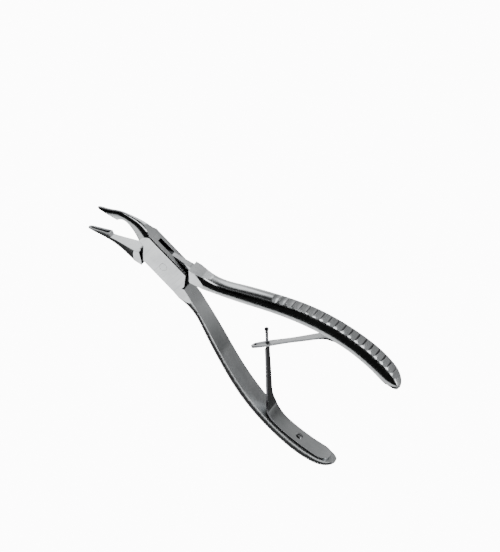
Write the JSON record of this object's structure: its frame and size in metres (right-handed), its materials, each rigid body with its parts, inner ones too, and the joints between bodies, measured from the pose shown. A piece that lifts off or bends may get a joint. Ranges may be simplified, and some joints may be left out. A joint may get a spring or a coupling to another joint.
{
  "type": "bone rongeur",
  "caption": "Box-lock bone rongeur with curved cup jaws, fluted handles and two hooked leaf springs that push the handles apart.",
  "frame": {"origin": "where the axis of the lock pin meets the outer face of one cheek of the lock", "axes": "+Z along the lock pin through the instrument, +X from the pin towards the handle ends, +Y to the side of the tongue half's handle"},
  "size_m": [0.141, 0.0672, 0.0103],
  "materials": {
    "forged_steel": "satin lock faces and flutes, polished handle sides and jaw backs",
    "pin_steel": "riveted and ground flush with the cheeks",
    "spring_steel": "satin",
    "screw_steel": "turned, slotted head"
  },
  "bodies": {
    "box_body": {"box_half": "forged_steel", "lock_pin": "pin_steel", "lower_spring_foot": "spring_steel", "lower_spring_screw": "screw_steel"},
    "tongue_body": {"tongue_half": "forged_steel", "upper_spring_foot": "spring_steel", "upper_spring_screw": "screw_steel"},
    "lower_blade": {"lower_spring_blade": "spring_steel"},
    "upper_blade": {"upper_spring_blade": "spring_steel"}
  },
  "joints": [
    {"name": "jaw_hinge", "type": "hinge", "parent": "box_body", "child": "tongue_body", "pos_m": [0, 0, 0.00375], "axis": [0, 0, -1], "range_deg": [0, 18], "stiffness_Nm_per_rad": 1.2},
    {"name": "lower_blade_bend", "type": "hinge", "parent": "box_body", "child": "lower_blade", "pos_m": [0.072, -0.0134, 0.00375], "axis": [0, 0, 1], "range_deg": [0, 22]},
    {"name": "upper_blade_bend", "type": "hinge", "parent": "tongue_body", "child": "upper_blade", "pos_m": [0.0663, 0.0373, 0.00375], "axis": [0, 0, -1], "range_deg": [0, 20]}
  ],
  "couplings": [
    {"joint": "lower_blade_bend", "follows": "jaw_hinge", "ratio": 1.2},
    {"joint": "upper_blade_bend", "follows": "jaw_hinge", "ratio": 1.1}
  ]
}
